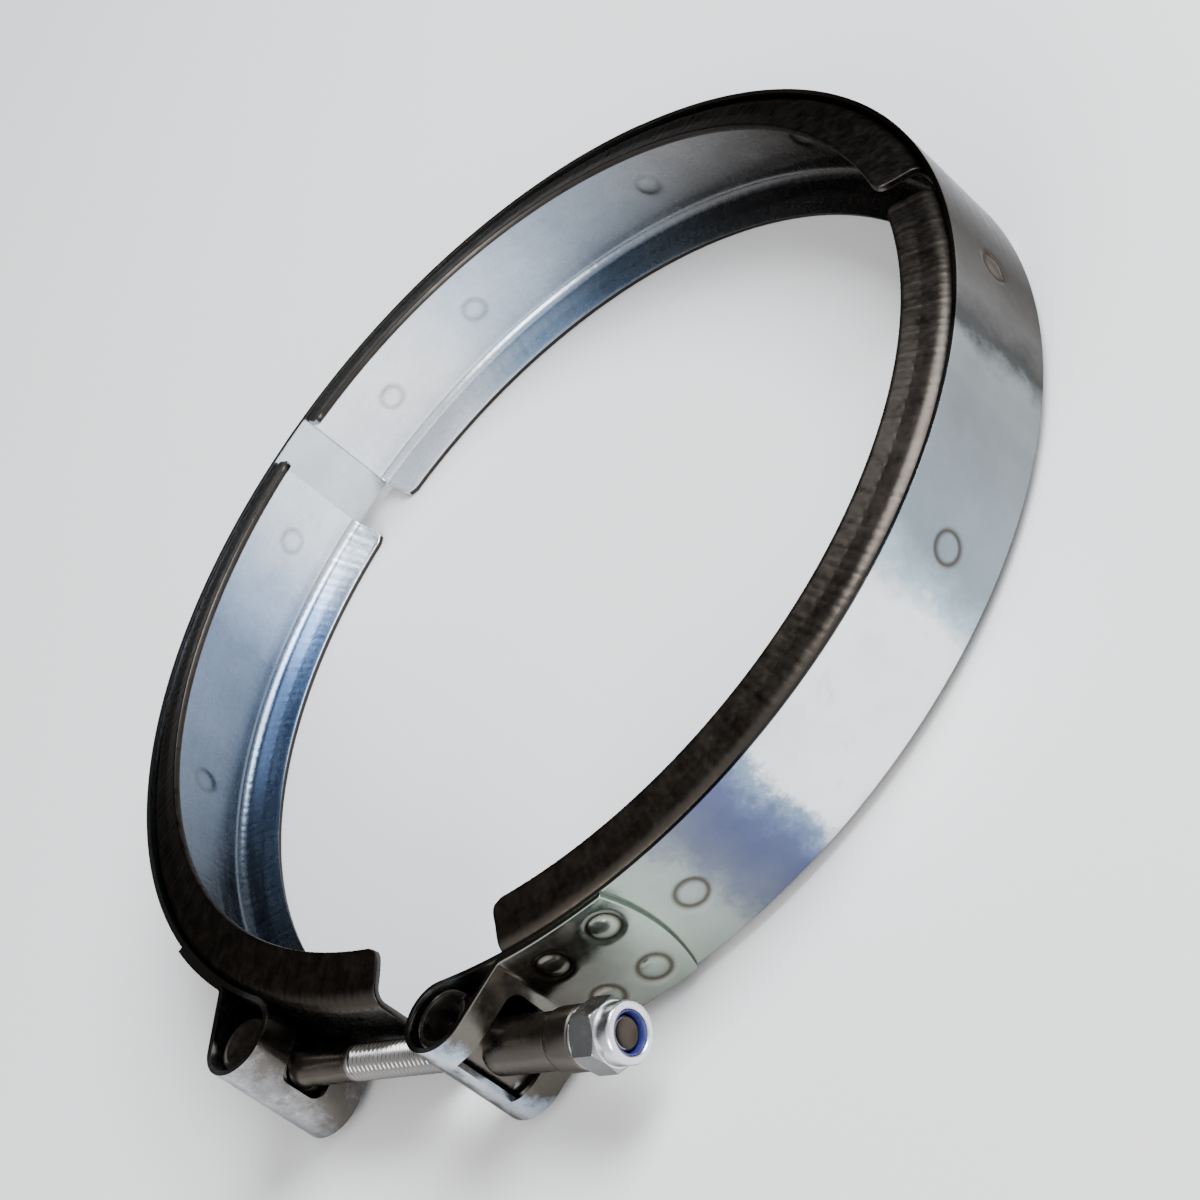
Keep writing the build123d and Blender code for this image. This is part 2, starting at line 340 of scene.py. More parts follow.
CLOUD_SCALE = 70.0
SPECK_SCALE = 900.0
TINT_DRIFT_SCALE = 120.0
TINT_DRIFT = 0.0045
STAIN_SCALE = 130.0
STAIN_STRENGTH = 0.35
CLOUD_DARK = (0.78, 0.79, 0.8)
CLOUD_LIGHT = (1.0, 1.0, 1.0)
# Weld rings: partly heat tint, partly painted shade in the band's weld grooves.
SCORCH_AND_SHADE_COLOUR = (0.06, 0.045, 0.03)
SCORCH_AND_SHADE_STRENGTH = 0.85
EDGE_TINT = 0.45
BUMP_STRENGTH = 0.35


def steel(name, tints, roughness, streak_depth, stain, stretch=(40, 900, 900)):
    """Steel with (degrees, colour) tints round the ring, streaks, cloudy tone, stains and weld scorch.

    The tints are painted reflections, painted highlights and painted shade where they vary round the ring:
    they stand in for the light and dark surroundings that bright metal mirrors, and turn with the metal.
    The dark weld rings are partly heat tint and partly painted shade in the band's weld grooves.
    """
    material = bpy.data.materials.new(name)
    material.use_nodes = True
    nodes, links = material.node_tree.nodes, material.node_tree.links
    shader = nodes["Principled BSDF"]
    shader.inputs["Metallic"].default_value = 1.0
    shader.inputs["Specular Tint"].default_value = (EDGE_TINT, EDGE_TINT, EDGE_TINT, 1)
    along, place, turn = round_the_ring(nodes, links, stretch)
    streaks = noise(nodes, links, along, 1.0, 6.0, 0.6)
    clouds = noise(nodes, links, place, CLOUD_SCALE, 5.0, 0.6)
    specks = noise(nodes, links, place, SPECK_SCALE, 2.0, 0.5)
    wander = noise(nodes, links, place, TINT_DRIFT_SCALE, 8.0, 0.75)
    drift = ranged(nodes, links, wander, 0.3, 0.7, -TINT_DRIFT, TINT_DRIFT)
    # The tint ramp by angle paints reflections, highlights and shade into the base colour.
    ramp = nodes.new("ShaderNodeValToRGB")
    ramp.color_ramp.interpolation = "LINEAR"
    for spare in list(ramp.color_ramp.elements)[1:]:
        ramp.color_ramp.elements.remove(spare)
    ramp.color_ramp.elements[0].color = (*tints[0][1], 1)
    for degrees, colour in tints[1:]:
        ramp.color_ramp.elements.new(degrees / 360 + 0.5).color = (*colour, 1)
    ramp.color_ramp.elements[0].position = max(0, tints[0][0] / 360 + 0.5)
    links.new(maths(nodes, links, "ADD", turn, drift), ramp.inputs[0])
    toned = nodes.new("ShaderNodeMix")
    toned.data_type = "RGBA"
    toned.blend_type = "MULTIPLY"
    toned.inputs[0].default_value = 1.0
    links.new(ramp.outputs[0], toned.inputs[6])
    cover = ranged(nodes, links, clouds, 0.3, 0.7, 0, 1)
    links.new(mixed(nodes, links, cover, CLOUD_DARK, CLOUD_LIGHT), toned.inputs[7])
    spots = noise(nodes, links, place, STAIN_SCALE, 5.0, 0.7)
    stains = ranged(nodes, links, spots, 0.6, 0.78, 0, STAIN_STRENGTH)
    stained = blended(nodes, links, stains, toned.outputs[2], stain)
    # Darkens the weld rings: partly heat tint, partly painted shade in the band's grooves.
    weld = nodes.new("ShaderNodeAttribute")
    weld.attribute_name = "scorch_and_shade"
    scorched_and_shaded = ranged(nodes, links, weld.outputs["Fac"], 0.1, 0.8, 0, SCORCH_AND_SHADE_STRENGTH)
    links.new(blended(nodes, links, scorched_and_shaded, stained, SCORCH_AND_SHADE_COLOUR), shader.inputs["Base Color"])
    sheen = ranged(nodes, links, streaks, 0.3, 0.7, roughness[0], roughness[1])
    fleck = ranged(nodes, links, specks, 0.4, 0.8, -0.02, 0.05)
    links.new(maths(nodes, links, "ADD", sheen, fleck), shader.inputs["Roughness"])
    bump = nodes.new("ShaderNodeBump")
    bump.inputs["Strength"].default_value = BUMP_STRENGTH
    bump.inputs["Distance"].default_value = streak_depth * MM
    links.new(streaks, bump.inputs["Height"])
    links.new(bump.outputs[0], shader.inputs["Normal"])
    return material


# The band's tints are painted reflections, painted highlights and painted shade at fixed angles round the
# ring.
band_steel = steel(
    "band_steel",
    tints=[
        (-180, (0.5, 0.55, 0.62)),
        # Across the left loop: a painted highlight between two painted dark stripes.
        (-110, (0.15, 0.15, 0.14)),
        (-107, (0.62, 0.66, 0.7)),
        (-105, (0.66, 0.68, 0.7)),
        (-103.6, (0.13, 0.12, 0.11)),
        (-92, (0.3, 0.26, 0.22)),
        # Across the right loop: a painted highlight and a painted blue reflection between two painted dark
        # stripes.
        (-81, (0.12, 0.12, 0.12)),
        (-78.6, (0.2, 0.21, 0.2)),
        (-77.4, (0.66, 0.69, 0.72)),
        (-76, (0.42, 0.5, 0.62)),
        (-74.6, (0.13, 0.12, 0.1)),
        (-67, (0.2, 0.19, 0.17)),
        (-56, (0.35, 0.41, 0.35)),
        (-51, (0.32, 0.36, 0.34)),
        (-48.5, (0.14, 0.16, 0.21)),
        (-44, (0.1, 0.115, 0.2)),
        (-41.5, (0.11, 0.13, 0.24)),
        (-39.5, (0.2, 0.29, 0.4)),
        # A painted highlight: the blown-white patch on the band's outside.
        (-38, (0.92, 0.94, 0.96)),
        (-18, (0.96, 0.96, 0.96)),
        (-16, (0.42, 0.55, 0.62)),
        (-12, (0.24, 0.29, 0.32)),
        (4, (0.22, 0.24, 0.25)),
        (10, (0.26, 0.28, 0.28)),
        (13, (0.06, 0.06, 0.06)),
        (18, (0.16, 0.155, 0.15)),
        (27, (0.09, 0.08, 0.07)),
        (45, (0.05, 0.043, 0.036)),
        (70, (0.2, 0.19, 0.18)),
        (110, (0.4, 0.4, 0.4)),
        (140, (0.85, 0.88, 0.9)),
        (180, (0.5, 0.55, 0.62)),
    ],
    roughness=(0.14, 0.26),
    streak_depth=0.02,
    stain=(0.3, 0.27, 0.24),
)

LEFT_BAND_END = 253.5
LEFT_LEG_HEADING = 105.6
LEFT_TAIL_END = 235.0
LEFT_WELDS = [(128.0, 0), (143.0, 0), (165.0, 0), (200.1, 0), (228.0, 0)]
LEFT_TAIL_WELDS = [(238.5, 6), (238.2, -6), (243.4, 5.5), (243.8, -6)]
HEAD_SLOT = ((-26.0, -19.5), (-96.7, -87.3), 9.0, 2.0)

centre, radius = curl(LEFT_BAND_END, HEAD_X + LOOP_MID_R)
under = arc((HEAD_X, BOLT_Y), LOOP_MID_R, 0, LEFT_LEG_HEADING - 270, BEND_STEP)
leg_end, fold_centre = fold(under[-1][0], LEFT_LEG_HEADING, 1)
tail_start = math.degrees(math.atan2(fold_centre[1], fold_centre[0]))
left_tail = arc((0, 0), TAIL_MID_R, tail_start, LEFT_TAIL_END - 360, BEND_STEP)
left_line = joined(
    ring_arc(SEAM_ANGLE - SEAM_OVERLAP, LEFT_BAND_END, [w for w, _ in LEFT_WELDS]),
    arc(centre, radius, LEFT_BAND_END - 180, 0, BEND_STEP),
    run((HEAD_X + LOOP_MID_R, centre[1]), (HEAD_X + LOOP_MID_R, BOLT_Y), BEND_STEP),
    under,
    run(under[-1][0], leg_end, LEG_STEP),
    arc(fold_centre, FOLD_MID_R, LEFT_LEG_HEADING - 90, tail_start + 180, FOLD_STEP),
    left_tail,
)
band_left = strap(
    "band_left_half",
    left_line,
    len(left_tail),
    LEFT_WELDS,
    LEFT_TAIL_WELDS,
    [HEAD_SLOT],
)

RIGHT_BAND_END = -77.5
RIGHT_LEG_HEADING = 66.9
RIGHT_TAIL_END = -57.0
RIGHT_WELDS = [(73.7, 0), (48.0, 0), (25.4, 0), (-10.4, 0), (-51.5, 0)]
RIGHT_TAIL_WELDS = [(-59.4, 6), (-59.7, -6), (-66.2, 5.1), (-65.5, -6)]
BOLT_SLOT = ((13.5, 20.5), (-98.0, -88.0), 9.0, 2.0)
SLEEVE_WINDOW = ((23.4, 34.0), (-100.0, -87.1), 12.4, 2.0)

centre, radius = curl(RIGHT_BAND_END, TRUNNION_X - LOOP_MID_R)
under = arc((TRUNNION_X, BOLT_Y), LOOP_MID_R, 180, RIGHT_LEG_HEADING + 270, BEND_STEP)
leg_end, fold_centre = fold(under[-1][0], RIGHT_LEG_HEADING, -1)
tail_start = math.degrees(math.atan2(fold_centre[1], fold_centre[0]))
right_tail = arc((0, 0), TAIL_MID_R, tail_start, RIGHT_TAIL_END, BEND_STEP)
right_line = joined(
    ring_arc(SEAM_ANGLE + SEAM_OVERLAP, RIGHT_BAND_END, [w for w, _ in RIGHT_WELDS]),
    arc(centre, radius, RIGHT_BAND_END + 180, 180, BEND_STEP),
    run((TRUNNION_X - LOOP_MID_R, centre[1]), (TRUNNION_X - LOOP_MID_R, BOLT_Y), BEND_STEP),
    under,
    run(under[-1][0], leg_end, LEG_STEP),
    arc(fold_centre, FOLD_MID_R, RIGHT_LEG_HEADING + 90, tail_start + 180, FOLD_STEP),
    right_tail,
)
band_right = strap(
    "band_right_half",
    right_line,
    len(right_tail),
    RIGHT_WELDS,
    RIGHT_TAIL_WELDS,
    [BOLT_SLOT, SLEEVE_WINDOW],
)


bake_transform(band_left)
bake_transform(band_right)
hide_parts("band_left", "flex_strip_left", "band_top")
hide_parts("band_right", "flex_strip_right")
for half in (band_left, band_right):
    half.data.materials.append(band_steel)


# ---- Retainer segments ----
# Three arcs of 1.2 mm sheet, formed to a V channel whose flared lips draw two flanges together.
# Forming leaves fine radial wrinkles in the flanks, and each spot weld to the band a low bump inside.

RETAINER_T = 1.2
WEB_R = 88.5
SECTION = [(80.6, 12.615), (83.83, 11.522), (WEB_R, 10.37)]
SECTION_BEND_R = 2.8
SECTION_STEP = 0.8
RETAINER_EDGE_R = 0.22
LIP_CORNER_R = 2.0
STATIONS_PER_DEGREE = 3.2
WRINKLE = 0.035
WRINKLE_SPACINGS = (1.1, 1.45, 1.9, 2.6)
WRINKLE_R = 86
WRINKLE_LIMIT_R = 88.8
WRINKLE_FADE = 1.5
BOW = 0.03
BOW_WAVES = 5
BUMP_HEIGHT = 0.3
BUMP_R = 2.2
HEAT_MARK_R = 2.1
HEAT_MARK_WIDTH = 0.7
HEAT_MARK = 0.42


def rounded(corners, radius, step):
    """Points along a line with its inner corners turned into arcs."""
    line = [np.array(corners[0], float)]
    for before, corner, after in zip(corners, corners[1:], corners[2:]):
        corner = np.array(corner, float)
        back, on = np.subtract(before, corner), np.subtract(after, corner)
        back, on = back / np.linalg.norm(back), on / np.linalg.norm(on)
        half = math.acos(max(-1, min(1, back @ on))) / 2
        reach = radius / math.tan(half)
        centre = corner + (back + on) / np.linalg.norm(back + on) * radius / math.sin(half)
        start, end = corner + back * reach - centre, corner + on * reach - centre
        turn = math.atan2(start[0] * end[1] - start[1] * end[0], start @ end)
        count = max(3, math.ceil(abs(turn) * radius / (step / 2)) + 1)
        for t in np.linspace(0, turn, count):
            c, s = math.cos(t), math.sin(t)
            line.append(centre + [start[0] * c - start[1] * s, start[0] * s + start[1] * c])
    line.append(np.array(corners[-1], float))
    filled = [line[0]]
    for point in line[1:]:
        count = max(1, math.ceil(np.linalg.norm(point - filled[-1]) / step))
        filled += [filled[-1] + (point - filled[-1]) * k / count for k in range(1, count + 1)]
    return np.array(filled)


def retainer(name, start, end, welds, seed):
    """One segment between two angles, its free lip corners rounded."""
    corners = [(r, -z) for r, z in SECTION] + [(r, z) for r, z in reversed(SECTION)]
    section = rounded(corners, SECTION_BEND_R, SECTION_STEP)
    steps = np.diff(section, axis=0)
    travelled = np.concatenate([[0], np.cumsum(np.linalg.norm(steps, axis=1))])
    from_tip = np.minimum(travelled, travelled[-1] - travelled)
    inside = np.clip(LIP_CORNER_R - from_tip, 0, LIP_CORNER_R)
    trimmed = LIP_CORNER_R - np.sqrt(LIP_CORNER_R**2 - inside**2)
    trim = np.degrees(trimmed / section[:, 0])
    share = np.linspace(0, 1, math.ceil((end - start) * STATIONS_PER_DEGREE) + 1)
    angles = np.radians(start + trim[None, :] + (end - start - 2 * trim[None, :]) * share[:, None])
    normal = np.gradient(section, axis=0)
    normal = np.stack([normal[:, 1], -normal[:, 0]], 1)
    normal /= np.linalg.norm(normal, axis=1)[:, None]
    dice = np.random.default_rng(seed)
    ripple = np.zeros_like(angles)
    for spacing in WRINKLE_SPACINGS:
        height = dice.uniform(0.5, 1)
        offset = dice.uniform(0, 6.28, len(section)) * 0.25
        ripple += height * np.sin(angles * WRINKLE_R * 2 * math.pi / spacing + offset)
    below_web = np.clip((WRINKLE_LIMIT_R - section[:, 0]) / WRINKLE_FADE, 0, 1)
    on_flank = below_web * np.clip(from_tip / WRINKLE_FADE, 0.15, 1)
    lift = ripple * WRINKLE * on_flank[None, :] / 2
    lift += BOW * np.sin(angles * BOW_WAVES + seed)
    scorch_and_shade = np.zeros_like(lift)
    for weld in welds:
        reach = np.hypot((angles - math.radians(weld)) * WEB_R, section[None, :, 1])
        lift -= BUMP_HEIGHT * np.exp(-((reach / BUMP_R) ** 4))
        mark = HEAT_MARK * np.exp(-(((reach - HEAT_MARK_R) / HEAT_MARK_WIDTH) ** 2))
        scorch_and_shade = np.maximum(scorch_and_shade, mark)
    r = section[None, :, 0] + lift * normal[None, :, 0]
    z = section[None, :, 1] + lift * normal[None, :, 1]
    points = np.stack([r * np.cos(angles), r * np.sin(angles), z], 2)
    return finish_sheet(name, points, RETAINER_T, RETAINER_EDGE_R, scorch_and_shade)


# The retainers' tints are painted reflections, painted highlights and painted shade at fixed angles: dark at
# the right, blue at the left.
retainer_steel = steel(
    "retainer_steel",
    tints=[
        (-180, (0.18, 0.235, 0.33)),
        (-150, (0.13, 0.155, 0.19)),
        (-120, (0.12, 0.13, 0.14)),
        (-100, (0.09, 0.085, 0.08)),
        (45, (0.07, 0.062, 0.055)),
        (75, (0.1, 0.092, 0.085)),
        (95, (0.17, 0.17, 0.17)),
        (112, (0.24, 0.28, 0.33)),
        (128, (0.55, 0.64, 0.75)),
        # A painted highlight: white inside the channel beside the left gap.
        (138, (0.95, 0.97, 1.0)),
        (162, (0.9, 0.95, 1.0)),
        (172, (0.38, 0.48, 0.64)),
        (180, (0.18, 0.235, 0.33)),
    ],
    roughness=(0.2, 0.32),
    streak_depth=0.03,
    stain=(0.26, 0.24, 0.22),
    stretch=(60, 500, 500),
)
# Darker steel for faces turned out of the ring's plane: partly a darker tooled finish, partly painted shade
# and painted reflection.
tooled_and_shaded_steel = steel(
    "tooled_and_shaded_steel",
    tints=[
        (-180, (0.075, 0.066, 0.058)),
        (-60, (0.07, 0.058, 0.047)),
        (60, (0.045, 0.04, 0.036)),
        (180, (0.075, 0.066, 0.058)),
    ],
    roughness=(0.26, 0.4),
    streak_depth=0.05,
    stain=(0.07, 0.062, 0.055),
    stretch=(320, 320, 320),
)


FLANK_FACING = 0.2


def finish_by_face(piece, rule):
    """Gives each face the material whose number the rule returns for the faces' centres (mm) and normals."""
    faces = piece.data.polygons
    centres, normals = np.zeros(len(faces) * 3), np.zeros(len(faces) * 3)
    faces.foreach_get("center", centres)
    faces.foreach_get("normal", normals)
    numbers = rule(centres.reshape(-1, 3) / MM, normals.reshape(-1, 3))
    faces.foreach_set("material_index", numbers.astype(np.int32))


RETAINERS = {
    "top": ((38.1, 151.8), [48.0, 73.7, 99.4, 128.0, 143.0]),
    "left": ((158.0, 272.8), [165.0, 200.1, 228.0]),
    "right": ((-69.8, 33.7), [25.4, -10.4, -51.5]),
}
for number, (side, (span, welds)) in enumerate(RETAINERS.items()):
    segment = retainer(f"retainer_{side}_formed", *span, welds, number + 3)
    segment.data.materials.append(retainer_steel)
    segment.data.materials.append(tooled_and_shaded_steel)
    # The outer sides of the flanks and lips take the darker steel: partly a tooled finish, partly painted
    # shade by facing.
    finish_by_face(segment, lambda centre, normal: normal[:, 2] * np.sign(centre[:, 2]) > FLANK_FACING)
    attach(segment, f"{side}_segment")
    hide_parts(f"retainer_{side}")


# ---- T-bolt ----
# A round cross head welded to an M6 shank: plain beside the head, then a rolled 1 mm thread.
# The thread is bright. The plain part is darker, the head is darker as painted shade inside its loop, and the
# dished end is darker still as painted shade.

HEAD_R = 4.75
HEAD_HALF_LENGTH = 9.5
HEAD_SIDES = 64
SHANK_R = 2.95
SHANK_SIDES = 32
PLAIN_X = [HEAD_X + 2, -22.4, -22.0, -21.6, -18, -14, -10]
FILLET = 0.45
FILLET_X = -22.4
FILLET_WIDTH = 0.5
THREAD_CREST_R = SHANK_R + 0.02
THREAD_ROOT_R = 2.5
THREAD_START_X = -9.0
THREAD_RUN_IN = 2
THREAD_SLOPE = 1.25
THREAD_ROOT_FLAT = 0.12
PITCH = 1.0
ROWS_PER_PITCH = 8
BOLT_END_X = 51.2
END_CHAMFER = 0.7
END_CHAMFER_SLOPE = 0.8
END_DISH = ((2.3, 0), (2.05, 0.12), (1.3, 0.5), (0.3, 0.62))
END_DISH_DEPTH = 0.65


def turned(name, profile, steps, place):
    """A turned piece: a profile of (radius, height) in mm, spun about Z and then put in its place."""
    mesh = bpy.data.meshes.new(name)
    edges = [(k, k + 1) for k in range(len(profile) - 1)]
    mesh.from_pydata([(r * MM, 0, h * MM) for r, h in profile], edges, [])
    piece = bpy.data.objects.new(name, mesh)
    bpy.context.scene.collection.objects.link(piece)
    lathe = piece.modifiers.new("lathe", "SCREW")
    lathe.steps = lathe.render_steps = steps
    lathe.use_merge_vertices = True
    lathe.merge_threshold = 1e-6
    settle(piece, 30)
    piece.data.transform(place)
    return piece


def tube_of(name, rows):
    """A closed skin through rings of points, capped at both ends (mm)."""
    sides = len(rows[0])
    points = np.array(rows)
    count = len(rows)
    middles = [points[0].mean(0).tolist(), points[-1].mean(0).tolist()]
    vertices = points.reshape(-1, 3).tolist() + middles
    faces = []
    for i in range(count - 1):
        for j in range(sides):
            k = (j + 1) % sides
            faces.append((i * sides + j, (i + 1) * sides + j, (i + 1) * sides + k, i * sides + k))
    first, last = count * sides, count * sides + 1
    for j in range(sides):
        k = (j + 1) % sides
        faces.append((first, j, k))
        faces.append((last, (count - 1) * sides + k, (count - 1) * sides + j))
    mesh = bpy.data.meshes.new(name)
    mesh.from_pydata((np.array(vertices) * MM).tolist(), [], faces)
    shaped = bmesh.new()
    shaped.from_mesh(mesh)
    bmesh.ops.recalc_face_normals(shaped, faces=shaped.faces)
    shaped.to_mesh(mesh)
    shaped.free()
    piece = bpy.data.objects.new(name, mesh)
    bpy.context.scene.collection.objects.link(piece)
    mesh.shade_smooth()
    mesh.set_sharp_from_angle(angle=math.radians(40))
    return piece


ALONG_BOLT = Matrix.Translation((0, BOLT_Y * MM, 0)) @ Matrix.Rotation(math.pi / 2, 4, "Y")

bolt_steel = steel(
    "bolt_steel",
    tints=[(-180, (0.22, 0.21, 0.2)), (0, (0.24, 0.23, 0.22))],
    roughness=(0.18, 0.32),
    streak_depth=0.01,
    stain=(0.3, 0.28, 0.26),
    stretch=(300, 300, 300),
)
darker_and_shaded_steel = steel(
    "darker_and_shaded_steel",
    tints=[(-180, (0.12, 0.105, 0.09)), (0, (0.12, 0.105, 0.09))],
    roughness=(0.22, 0.36),
    streak_depth=0.01,
    stain=(0.08, 0.07, 0.06),
    stretch=(300, 300, 300),
)

head_end = [
    (0, HEAD_HALF_LENGTH - 0.5),
    (2.6, HEAD_HALF_LENGTH - 0.35),
    (3.3, HEAD_HALF_LENGTH),
    (HEAD_R - 0.7, HEAD_HALF_LENGTH),
    (HEAD_R - 0.2, HEAD_HALF_LENGTH - 0.2),
    (HEAD_R, HEAD_HALF_LENGTH - 0.7),
]
head = turned(
    "t_bolt_head",
    head_end + [(r, -height) for r, height in reversed(head_end)],
    HEAD_SIDES,
    Matrix.Translation((HEAD_X * MM, BOLT_Y * MM, 0)),
)

turns = np.linspace(0, 2 * math.pi, SHANK_SIDES, endpoint=False)


def shank_ring(x, radii):
    """Points round the bolt at x, at one radius or at one for each turn."""
    reach = np.broadcast_to(radii, len(turns))
    return [(x, BOLT_Y + r * math.cos(t), r * math.sin(t)) for r, t in zip(reach, turns)]


shank_rows = []
for x in PLAIN_X:
    shank_rows.append(shank_ring(x, SHANK_R + FILLET * math.exp(-((x - FILLET_X) / FILLET_WIDTH) ** 2)))
threaded_x = np.arange(THREAD_START_X - 1, BOLT_END_X + 1e-6, PITCH / ROWS_PER_PITCH)
for x in threaded_x[1:]:
    wave = np.abs(((x / PITCH - turns / (2 * math.pi)) % 1) * 2 - 1)
    crest = np.clip(wave * THREAD_SLOPE - THREAD_ROOT_FLAT, 0, 1)
    run_in = np.clip((x - THREAD_START_X) / THREAD_RUN_IN, 0, 1)
    depth = (THREAD_CREST_R - THREAD_ROOT_R) * run_in
    chamfered = THREAD_CREST_R - max(0, x - BOLT_END_X + END_CHAMFER) * END_CHAMFER_SLOPE
    shank_rows.append(shank_ring(x, np.minimum(THREAD_CREST_R - depth * (1 - crest), chamfered)))
for radius, dip in END_DISH:
    shank_rows.append(shank_ring(BOLT_END_X - dip, radius))
shank = tube_of("t_bolt_shank", shank_rows)
for piece in (head, shank):
    piece.data.materials.append(bolt_steel)
    piece.data.materials.append(darker_and_shaded_steel)
    piece.data.materials.append(tooled_and_shaded_steel)
    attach(piece, "t_bolt")
# The whole head takes the darker steel: painted shade inside the left loop.
finish_by_face(head, lambda centre, normal: np.ones(len(centre)))
# The dished end takes the darkest steel as painted shade, the plain part the darker steel, the thread the
# bright one.
finish_by_face(
    shank,
    lambda centre, normal: np.where(
        (centre[:, 0] > BOLT_END_X - END_DISH_DEPTH)
        & (np.hypot(centre[:, 1] - BOLT_Y, centre[:, 2]) < END_DISH[0][0]),
        2,
        centre[:, 0] < THREAD_START_X,
    ),
)
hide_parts("t_bolt")


# ---- Trunnion ----
# Rolled from 0.9 mm sheet: a barrel that turns in the right loop, with a seamed sleeve for the bolt.
# The sleeve's outer end is upset into a thicker collar that the nut bears on.

BARREL_MID_R = 4.3
BARREL_HALF_LENGTH = 10.0
BARREL_T = 0.9
BARREL_EDGE_R = 0.15
ROLL_START, ROLL_END = 40, 396
ROLL_LIFT = 0.55
ROLL_LIFT_DEGREES = 16
BORE_R = 3.4
BORE_HALF_LENGTH = 16
SLEEVE_OUT_R = 4.45
SLEEVE_T = 0.95
SLEEVE_EDGE_R = 0.12
SLEEVE_START_X = 24.6
SLEEVE_END_X = 38.3
SEAM_HALF_ANGLE = 5.5

trunnion_steel = steel(
    "trunnion_steel",
    tints=[(-180, (0.13, 0.115, 0.1)), (0, (0.12, 0.105, 0.09))],
    roughness=(0.24, 0.38),
    streak_depth=0.02,
    stain=(0.1, 0.09, 0.08),
    stretch=(300, 300, 300),
)

angles = np.radians(np.linspace(ROLL_START, ROLL_END, 72))
lift = ROLL_LIFT * np.exp(-((np.degrees(angles) - ROLL_START) / ROLL_LIFT_DEGREES) ** 2)
heights = np.linspace(-BARREL_HALF_LENGTH, BARREL_HALF_LENGTH, 21)
barrel_points = np.zeros((len(angles), len(heights), 3))
barrel_points[:, :, 0] = (TRUNNION_X + (BARREL_MID_R + lift) * np.cos(angles))[:, None]
barrel_points[:, :, 1] = (BOLT_Y + (BARREL_MID_R + lift) * np.sin(angles))[:, None]
barrel_points[:, :, 2] = heights[None, :]
bore = turned(
    "bore_cutter",
    [(0, BORE_HALF_LENGTH), (BORE_R, BORE_HALF_LENGTH), (BORE_R, -BORE_HALF_LENGTH), (0, -BORE_HALF_LENGTH)],
    48,
    Matrix.Translation((TRUNNION_X * MM, 0, 0)) @ ALONG_BOLT,
)
barrel = finish_sheet("trunnion_barrel", barrel_points, BARREL_T, BARREL_EDGE_R, cutter=bore)

around = np.radians(np.linspace(90 + SEAM_HALF_ANGLE, 450 - SEAM_HALF_ANGLE, 61))
sleeve_x = np.linspace(SLEEVE_START_X, SLEEVE_END_X, 24)
sleeve_points = np.zeros((len(sleeve_x), len(around), 3))
sleeve_mid = SLEEVE_OUT_R - SLEEVE_T / 2
sleeve_points[:, :, 0] = sleeve_x[:, None]
sleeve_points[:, :, 1] = BOLT_Y + sleeve_mid * np.sin(around)[None, :]
sleeve_points[:, :, 2] = -sleeve_mid * np.cos(around)[None, :]
sleeve = finish_sheet("trunnion_sleeve", sleeve_points, SLEEVE_T, SLEEVE_EDGE_R)

collar = turned(
    "trunnion_collar",
    [
        (3.45, 43.3),
        (3.65, 43.5),
        (4.7, 43.5),
        (4.95, 43.3),
        (5.0, 42.9),
        (5.0, 39.3),
        (4.9, 38.7),
        (4.6, 38.2),
        (4.4, 38.0),
        (3.45, 38.0),
        (3.45, 43.3),
    ],
    64,
    ALONG_BOLT,
)
for piece in (barrel, sleeve, collar):
    piece.data.materials.append(trunnion_steel)
    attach(piece, "trunnion")
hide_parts("trunnion")


# ---- Nut ----
# A self-locking hexagon nut, 10 mm across flats, chamfered at both ends, with a narrow round base.
# Its round rim is rolled over the nylon ring.

HALF_FLATS = 5.0
NUT_SIDES = 120
NUT_TURN = 30.0
HEX_X = (44.3, 49.3)
CHAMFER_START_R = 4.95
CHAMFER_LENGTH = 0.5
CHAMFER_SLOPE = 1.75
CHAMFER_ROWS = 7


def nut_row(x, limit, cornered):
    """One ring of the nut: a circle of that radius, or the hexagon held inside it."""
    row = []
    for k in range(NUT_SIDES):
        turn = 2 * math.pi * k / NUT_SIDES
        from_flat = (turn + math.radians(NUT_TURN)) % (math.pi / 3) - math.pi / 6
        r = min(limit, HALF_FLATS / math.cos(from_flat)) if cornered else limit
        row.append((x, BOLT_Y + r * math.cos(turn), r * math.sin(turn)))
    return row


nut_steel = steel(
    "nut_steel",
    tints=[(-180, (0.36, 0.36, 0.36)), (0, (0.33, 0.33, 0.33))],
    roughness=(0.18, 0.3),
    streak_depth=0.01,
    stain=(0.2, 0.18, 0.16),
    stretch=(300, 300, 300),
)
rim_steel = steel(
    "rim_steel",
    tints=[(-180, (0.8, 0.82, 0.84)), (0, (0.78, 0.8, 0.82))],
    roughness=(0.2, 0.34),
    streak_depth=0.01,
    stain=(0.3, 0.3, 0.3),
    stretch=(300, 300, 300),
)
base = [(43.62, 3.3), (43.62, 4.6), (43.7, 4.85), (43.85, 4.95), (44.05, 4.95), (44.18, 4.85), (44.24, 4.7)]
rim = [(49.36, 4.7), (49.5, 4.77), (51.6, 4.77), (51.9, 4.72), (52.15, 4.55), (52.28, 4.3), (52.3, 3.9)]
inside = [(52.22, 3.6), (52.05, 3.44), (51.8, 3.4), (49.75, 3.4), (49.7, 3.1), (43.8, 3.1), (43.62, 3.3)]
nut_rows = [nut_row(x, r, False) for x, r in base]
for step in np.linspace(0, CHAMFER_LENGTH, CHAMFER_ROWS):
    nut_rows.append(nut_row(HEX_X[0] + step, CHAMFER_START_R + step * CHAMFER_SLOPE, True))
for step in np.linspace(CHAMFER_LENGTH, 0, CHAMFER_ROWS):
    nut_rows.append(nut_row(HEX_X[1] - step, CHAMFER_START_R + step * CHAMFER_SLOPE, True))
nut_rows += [nut_row(x, r, False) for x, r in rim + inside]
nut = tube_of("nut_body", nut_rows)
